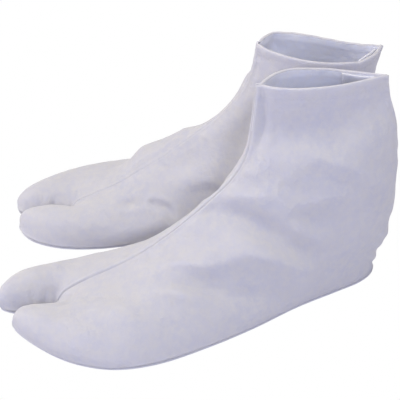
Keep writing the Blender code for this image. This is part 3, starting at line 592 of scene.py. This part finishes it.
def cottonCloth(name, shade):
    # plain-woven white cotton, washed soft: matt, with a faint unevenness of tone from two noises, and
    # bumps in a row: threads (sin x sin y of the cloth coordinates), slubs, fuzz and crumples
    s = shades[shade]
    material = bpy.data.materials.new(name)
    material.use_nodes = True
    tree = material.node_tree
    shader = tree.nodes["Principled BSDF"]
    shader.inputs["Roughness"].default_value = s["roughness"]
    shader.inputs["Sheen Weight"].default_value = s["sheen"]
    shader.inputs["Sheen Roughness"].default_value = 0.5
    shader.inputs["Specular IOR Level"].default_value = 0.25
    shader.inputs["Subsurface Weight"].default_value = s["through"]       # light shows through thin cotton
    shader.inputs["Subsurface Radius"].default_value = (1.0, 1.0, 1.1)
    shader.inputs["Subsurface Scale"].default_value = 4.0 * mm
    objectPlace = addNode(tree, "ShaderNodeTexCoord")
    weaveUv = addNode(tree, "ShaderNodeUVMap", {"uv_map": "weave"})
    broad, middle, small, crumple = (
        addNode(tree, "ShaderNodeTexNoise", dict(zip(("Scale", "Detail", "Roughness"), noises[kind])),
                {"Vector": objectPlace.outputs["Object"]}) for kind in ("broad", "middle", "small", "crumple"))
    slub = addNode(tree, "ShaderNodeMapping", {"Scale": noises["slub"]}, {"Vector": weaveUv.outputs["UV"]})
    slubs = addNode(tree, "ShaderNodeTexNoise", {"Scale": 1.0, "Detail": 2.0},
                    {"Vector": slub.outputs["Vector"]})
    tone = addNode(tree, "ShaderNodeMix", {"data_type": "RGBA"})
    tone.inputs[6].default_value, tone.inputs[7].default_value = linear(s["base"]), linear(s["worn"])
    wornShare = addNode(tree, "ShaderNodeMapRange", {"From Min": 0.42, "From Max": 0.72},
                        {"Value": broad.outputs["Fac"]})
    tree.links.new(wornShare.outputs["Result"], tone.inputs[0])
    warmth = addNode(tree, "ShaderNodeMix", {"data_type": "RGBA"})
    warmth.inputs[7].default_value = linear(s["warm"])
    warmShare = addNode(tree, "ShaderNodeMapRange", {"From Min": 0.4, "From Max": 0.62, "To Max": 1.0},
                        {"Value": middle.outputs["Fac"]})
    tree.links.new(warmShare.outputs["Result"], warmth.inputs[0])
    tree.links.new(tone.outputs[2], warmth.inputs[6])
    tree.links.new(warmth.outputs[2], shader.inputs["Base Color"])
    # threads: real ones are about 0.3 mm apart, drawn about twice as coarse so that they show
    pitch = 2 * math.pi / (s["thread"] * mm)
    axes = addNode(tree, "ShaderNodeSeparateXYZ", {}, {"Vector": weaveUv.outputs["UV"]})
    waves = []
    for axis in ("X", "Y"):
        scaled = addNode(tree, "ShaderNodeMath", {"operation": "MULTIPLY", 1: pitch}, {0: axes.outputs[axis]})
        waves.append(addNode(tree, "ShaderNodeMath", {"operation": "SINE"}, {0: scaled.outputs[0]}))
    weave = addNode(tree, "ShaderNodeMath", {"operation": "MULTIPLY"},
                    {0: waves[0].outputs[0], 1: waves[1].outputs[0]})
    weaveBump = addNode(tree, "ShaderNodeBump", {"Strength": s["weaveDepth"], "Distance": bumps["thread"]},
                        {"Height": weave.outputs[0]})
    slubBump = addNode(tree, "ShaderNodeBump",
                       {"Strength": bumps["slubStrength"], "Distance": bumps["thread"]},
                       {"Height": slubs.outputs["Fac"], "Normal": weaveBump.outputs["Normal"]})
    fuzz = addNode(tree, "ShaderNodeBump", {"Strength": s["fuzzDepth"], "Distance": bumps["fuzz"]},
                   {"Height": small.outputs["Fac"], "Normal": slubBump.outputs["Normal"]})
    crumpled = addNode(tree, "ShaderNodeBump", {"Strength": s["crumple"], "Distance": bumps["crumple"]},
                       {"Height": crumple.outputs["Fac"], "Normal": fuzz.outputs["Normal"]})
    tree.links.new(crumpled.outputs["Normal"], shader.inputs["Normal"])
    return material


materials = {
    "panel": cottonCloth("white cotton panel cloth", "panel"),       # the fine outer cloth of the uppers
    "lining": cottonCloth("white cotton lining cloth painted lighter", "lining"),    # lining cloth inside, drawn much paler than the outer cloth: painted light in the shaded inside
    "flap": cottonCloth("white cotton flap cloth painted lighter", "flap"),          # both layers of the closure's under-flap, drawn paler than the panel cloth: painted light where it lies in shade
    "sole": cottonCloth("white cotton sole cloth painted lighter", "sole"),          # heavier, coarser cotton, drawn paler than the panels: painted light on its shaded edge under them
    "thread": cottonCloth("white cotton thread", "thread"),          # sewing thread, a little shiny
}


def finishPiece(piece, slot, *nodes, material=None):
    # its material, picked by slot unless one is given, its body, and the CAD nodes that it stands for, which
    # it hides
    piece.data.materials.append(materials[material or slot])
    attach(piece, "root")
    if nodes:
        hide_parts(*nodes)
    return piece


def lineInside(piece, first):
    # the faces of the wall's inner side, whose points start at first, are the lining cloth, drawn paler as
    # painted light in the shaded inside
    piece.data.materials.append(materials["lining"])
    lowest = np.array([min(p.vertices) for p in piece.data.polygons])
    piece.data.polygons.foreach_set("material_index", (lowest >= first).astype(np.int32))


stitches = {
    "length": 1.7, "pitch": 2.4, "start": 0.6, "radius": 0.15, "lift": 0.02, "sink": 0.75,
    "sides": 8, "rings": 5, "endShare": 0.06, "endRadius": 0.35,    # of the radius, at the two ends
}


def stitchRow(name, path, normal):
    # small thread capsules along a path of points: each a row of circles whose radius follows a half
    # sine, fat in the middle, its ends sunk into the cloth
    s = stitches
    length = np.r_[0, np.cumsum(np.linalg.norm(np.diff(path, axis=0), axis=1))]
    count = int((length[-1] - s["length"] * mm) // (s["pitch"] * mm))
    start = (np.arange(count) * s["pitch"] + s["start"]) * mm
    read = lambda table, w: np.stack([np.interp(w, length, table[:, k]) for k in range(3)], -1)
    share = np.linspace(0, 1, s["rings"])
    where = start[:, None] + share[None] * s["length"] * mm
    centre, up = read(path, where), read(normal, where)
    up /= np.linalg.norm(up, axis=-1, keepdims=True)
    run = read(path, where + 0.1 * mm) - read(path, where - 0.1 * mm)
    run /= np.linalg.norm(run, axis=-1, keepdims=True)
    aside = np.cross(run, up)
    belly = np.sin(np.pi * np.clip(share, s["endShare"], 1 - s["endShare"]))[None, :, None]
    radius = s["radius"] * mm * (s["endRadius"] + (1 - s["endRadius"]) * belly)
    centre = centre + up * (s["lift"] * mm + s["radius"] * mm * (belly - s["sink"]))
    a = np.linspace(0, 2 * np.pi, s["sides"], endpoint=False)
    cosine, sine = (wave(a)[None, None, :, None] for wave in (np.cos, np.sin))
    ring = aside[:, :, None] * cosine + up[:, :, None] * sine
    points = centre[:, :, None] + ring * radius[..., None]
    sides, rings = s["sides"], s["rings"]
    one = np.arange(rings * sides).reshape(rings, sides)
    nxt = np.roll(one, -1, 1)
    band = np.stack([one[:-1], nxt[:-1], nxt[1:], one[1:]], -1).reshape(-1, 4)
    faces = []
    for first in range(0, count * rings * sides, rings * sides):
        faces += (band + first).tolist()
        faces += [(one[0, ::-1] + first).tolist(), (one[-1] + first).tolist()]
    piece = makePiece(name, points.reshape(-1, 3), faces)
    layer = piece.data.uv_layers.new(name="weave")
    layer.data.foreach_set("uv", np.tile([0.0, 0.0], len(piece.data.loops)))
    return finishPiece(piece, "panel", material="thread")


# mm where not a count: rows to the notch and on to the toes, points across; the rounded edge in
# thicknesses; a gentle wave over the sole; the middle, and how far the edge is from it across and along
soleSizes = {
    "rows": 100, "toeRows": 50, "across": 26, "heel": 0.5, "roundEdge": 0.75,
    "wave": 0.18, "waveReach": 14.0, "waveSeed": 71, "waveFade": 5,
    "middle": (-5.0, 120.0), "reach": (60, 125), "weld": 0.02,
}


def soleHalf(which):
    # half of the sole between the line under the seam and one panel's edge, then the edge to the split:
    # rows run across at one distance from the heel, close together at heel and toe (spaced by cosine),
    # as (x, y, on the edge)
    s = soleSizes
    line, length, tip = soleEdge(which)
    out = line[length <= tip]
    back = line[length >= tip][::-1]
    notchX, notchY, _ = splitSeam[-1]
    tipY = np.interp(tip, length, line[:, 1])
    low = s["heel"] + (notchY - s["heel"]) * (1 - np.cos(np.linspace(0, np.pi / 2, s["rows"] + 1)))
    y = np.r_[low, notchY + (tipY - notchY) * np.sin(np.linspace(0, np.pi / 2, s["toeRows"] + 1)[1:])]
    rise = np.argmax(out[:, 1])
    outX = np.interp(y, np.maximum.accumulate(out[:rise + 1, 1]), out[:rise + 1, 0])
    backY = np.maximum.accumulate(back[:, 1] + np.arange(len(back)) * 1e-6)
    backX = np.where(y < notchY, np.interp(y, [s["heel"], notchY], [0, notchX]),
                     np.interp(y, backY, back[:, 0]))
    backX[-1] = outX[-1]
    t = (1 - np.cos(np.linspace(0, np.pi, s["across"] + 1))) / 2
    x = backX[:, None] + (outX - backX)[:, None] * t
    edge = np.zeros(x.shape)
    edge[:, -1] = edge[0] = edge[-1] = 1
    edge[y >= notchY - 1e-6, 0] = 1
    return np.stack([x, np.repeat(y[:, None], s["across"] + 1, 1), edge], -1)


def soleShell(sock):
    # top and underside of both halves, drawn together towards the edge by a quarter circle, so that it is
    # rounded; then the whole sole is drawn in by the seam's gap
    s = soleSizes
    outline = np.concatenate([soleEdge(w)[0] for w in side])
    thick, inset = clothSizes["sole"], clothSizes["gap"]
    parts, faces, cloth, first = [], [], [], 0
    for w in side:
        flat, onEdge = soleHalf(w)[..., :2], soleHalf(w)[..., 2]
        rows, cols = flat.shape[:2]
        p = flat.reshape(-1, 2)
        d = np.full(len(p), 1e9)
        for chunk in np.array_split(outline, 30):     # in pieces, to save memory
            d = np.minimum(d, np.linalg.norm(p[:, None] - chunk[None], axis=2).min(1))
        d = d.reshape(rows, cols) * (1 - onEdge)
        inwards = np.clip(d / (s["roundEdge"] * thick), 0, 1)
        rounding = thick / 2 * (1 - np.sqrt(1 - (1 - inwards)**2))
        wave = s["wave"] * softRelief(np.dstack([flat, 0 * d]), s["waveSeed"], s["waveReach"])
        wave *= np.clip(d / s["waveFade"], 0, 1)
        for z, flip in ((thick - rounding + wave, w == "outer"), (rounding, w == "inner")):
            parts.append(np.dstack([flat, z]).reshape(-1, 3))
            index = first + np.arange(rows * cols).reshape(rows, cols)
            quads = np.stack([index[:-1, :-1], index[1:, :-1], index[1:, 1:], index[:-1, 1:]], -1)
            quads = quads.reshape(-1, 4)
            faces += (quads[:, ::-1] if flip else quads).tolist()
            cloth.append(p * mm)
            first += rows * cols
    points = np.concatenate(parts)
    middle, shrink = np.array(s["middle"]), [1 - inset / reach for reach in s["reach"]]
    points[:, :2] = middle + (points[:, :2] - middle) * shrink
    piece = makePiece(f"{sock}Sole", intoPair(points, sock), faces)
    layer = piece.data.uv_layers.new(name="weave")
    loops = np.zeros(len(piece.data.loops), int)
    piece.data.loops.foreach_get("vertex_index", loops)
    layer.data.foreach_set("uv", np.concatenate(cloth)[loops].ravel())
    weld(piece.data, s["weld"] * mm)
    return piece


def weld(mesh, distance):
    # joins the points of top and underside that meet along the edge
    b = bmesh.new()
    b.from_mesh(mesh)
    bmesh.ops.remove_doubles(b, verts=b.verts, dist=distance)
    bmesh.ops.dissolve_degenerate(b, edges=b.edges, dist=distance / 4)
    bmesh.ops.recalc_face_normals(b, faces=b.faces)
    b.to_mesh(mesh)
    b.free()
    mesh.update()


# the under-flap leans away from the panel towards its top; its stitches, from the closure's edge in mm
# and from and to sections; hem stitches start and end some columns from the seams
flapSizes = {"off": 0.6, "lean": 0.9, "leanReach": 1.2}
closureStitches = {"at": 4.5, "from": 0.15, "past": 0.6}
hemStitchInset = 4


def clothArea(piece):
    # half of the closed shell's surface, in square metres
    return sum(p.area for p in piece.data.polygons) / 2


def stitchAlong(name, sock, points, normal):
    # a row of stitches on a line of the surface, given in the sock's own frame
    path = intoPair(points, sock)
    stitchRow(name, path, intoPair(points + normal, sock) - path)


for sock in ("left", "right"):
    u, v, face, inside, n = panelWalls(sock)
    for w in side:
        _, _, tipAt = soleEdge(w)
        point, out = edgePoint(w, np.array([tipAt]))
        far = np.array([*point[0], floorLift])
        near = far - out[0] * clothSizes["wall"] + [0, 0, clothSizes["wall"]]
        piece, index, shell = closedCloth(f"{sock}{w.title()}Panel", intoPair(face[w], sock),
                                          intoPair(inside[w], sock), intoPair(np.array([far, near]), sock))
        addUv(piece, index, runLength(shell, 1), runLength(shell, 0))
        finishPiece(piece, "panel", f"{sock}_{w}_panel")
        lineInside(piece, index[-len(u)].min())
        print(f"{sock} {w} panel: {len(piece.data.polygons)} faces, {clothArea(piece):.4f} m2 of cloth")
        # top-stitching round the turned hem
        line = seams["hemStitchAt"] * seams["hemLine"]
        row = int(np.argmin(np.abs(runLength(face[w], 0).mean(1) - line)))
        within = slice(hemStitchInset, -hemStitchInset)
        stitchAlong(f"{sock}{w.title()}HemStitches", sock, face[w][row, within], n[w][row, within])
    # the under-flap, a little free of the panel at its top
    c = clothSizes
    rows, cols = u <= c["flapReach"] + 1e-9, (v >= c["flapShares"][0]) & (v <= c["flapShares"][1])
    nearTop = np.clip(1 - u[rows] / flapSizes["leanReach"], 0, 1)[:, None, None]
    bow = np.sin(np.pi * np.linspace(0, 1, cols.sum()))[None, :, None]
    lean = flapSizes["off"] + flapSizes["lean"] * nearTop * bow
    away = n["inner"][rows][:, cols]
    outsideFlap = inside["inner"][rows][:, cols] - away * lean
    insideFlap = outsideFlap - away * c["flap"]
    piece, index, shell = closedCloth(f"{sock}ClosureFlap", intoPair(outsideFlap, sock),
                                      intoPair(insideFlap, sock))
    addUv(piece, index, runLength(shell, 1), runLength(shell, 0))
    finishPiece(piece, "flap", f"{sock}_closure_flap")
    print(f"{sock} flap: {clothArea(piece):.4f} m2 of cloth")
    # top-stitching down the closure's edge
    across = runLength(face["inner"], 1)
    edge = int(np.argmin(np.abs((across[:, -1:] - across).mean(0) - closureStitches["at"])))
    down = (u > closureStitches["from"]) & (u < c["flapReach"] + closureStitches["past"])
    stitchAlong(f"{sock}ClosureStitches", sock, face["inner"][down][:, edge], n["inner"][down][:, edge])
    piece = soleShell(sock)
    finishPiece(piece, "sole", f"{sock}_sole")
    print(f"{sock} sole: {len(piece.data.polygons)} faces, {clothArea(piece):.4f} m2 of cloth")

# floor, light and camera: metres, watts, degrees, and pixels of a square frame
studio = {
    "floorSize": 6.0, "world": ((0.97, 0.945, 1.0), 0.57),
    "key": {"at": (0.08, -0.1, 1.4), "size": 0.5, "power": 4.8, "colour": (1.0, 0.95, 0.6)},
    "fill": {"at": (1.0, -0.1, 0.8), "size": 0.6, "power": 6.6, "colour": (0.57, 0.64, 1.0)},
    "front": {"at": (-0.05, -0.95, 0.8), "size": 0.6, "power": 4.9, "colour": (0.92, 0.9, 1.0)},
    "camera": {"turn": 80.1, "rise": 30.95, "distance": 0.6983, "aim": (0, -0.00283, 0.060),
               "focal": 1045.1, "middle": (197.8, 179.5), "frame": 400, "sensor": 36.0},
}
# matt paper, lit so brightly that the camera sees it as plain white, without a shadow
floorMaterial = bpy.data.materials.new("matt white paper")
floorMaterial.use_nodes = True
paper = floorMaterial.node_tree
paperShader = paper.nodes["Principled BSDF"]
paperShader.inputs["Base Color"].default_value = linear(shades["floor"]["base"])
paperShader.inputs["Roughness"].default_value = shades["floor"]["roughness"]
paperShader.inputs["Specular IOR Level"].default_value = 0.0
seenBy = addNode(paper, "ShaderNodeLightPath")
white = addNode(paper, "ShaderNodeEmission", {"Color": (1.0, 1.0, 1.0, 1.0), "Strength": 1.0})
both = addNode(paper, "ShaderNodeMixShader", {}, {
    0: seenBy.outputs["Is Camera Ray"], 1: paperShader.outputs[0], 2: white.outputs[0]})
paper.links.new(both.outputs[0], paper.nodes["Material Output"].inputs["Surface"])
half = studio["floorSize"] / 2
corners = [(-half, -half, 0), (half, -half, 0), (half, half, 0), (-half, half, 0)]
floor = makePiece("floor", corners, [(0, 1, 2, 3)])
floor.data.materials.append(floorMaterial)

world = bpy.data.worlds.new("soft room")
bpy.context.scene.world = world
world.use_nodes = True
background = world.node_tree.nodes["Background"]
background.inputs["Color"].default_value = (*studio["world"][0], 1)
background.inputs["Strength"].default_value = studio["world"][1]


lightAim = (0, 0, 0.05)


def addLight(name, at, size, power, colour):
    # a square soft light that faces the middle of the pair
    light = bpy.data.lights.new(name, "AREA")
    light.size, light.energy, light.color = size, power, colour
    lamp = bpy.data.objects.new(name, light)
    lamp.location = at
    lamp.rotation_euler = (Vector(lightAim) - Vector(at)).to_track_quat("-Z", "Y").to_euler()
    bpy.context.scene.collection.objects.link(lamp)


for name in ("key", "fill", "front"):
    addLight(name, **studio[name])

view = studio["camera"]
turn, rise = math.radians(view["turn"]), math.radians(view["rise"])
back = Vector((math.sin(turn) * math.cos(rise), -math.cos(turn) * math.cos(rise), math.sin(rise)))
camera = bpy.data.objects.new("camera", bpy.data.cameras.new("camera"))
camera.location = Vector(view["aim"]) + back * view["distance"]
camera.rotation_euler = (-back).to_track_quat("-Z", "Y").to_euler()
camera.data.sensor_width = view["sensor"]
camera.data.lens = view["focal"] / view["frame"] * view["sensor"]
camera.data.shift_x = (view["frame"] / 2 - view["middle"][0]) / view["frame"]
camera.data.shift_y = (view["middle"][1] - view["frame"] / 2) / view["frame"]
bpy.context.scene.collection.objects.link(camera)
bpy.context.scene.camera = camera
bpy.context.scene.view_settings.view_transform = "Standard"     # white paper stays white
print("camera and light in place")
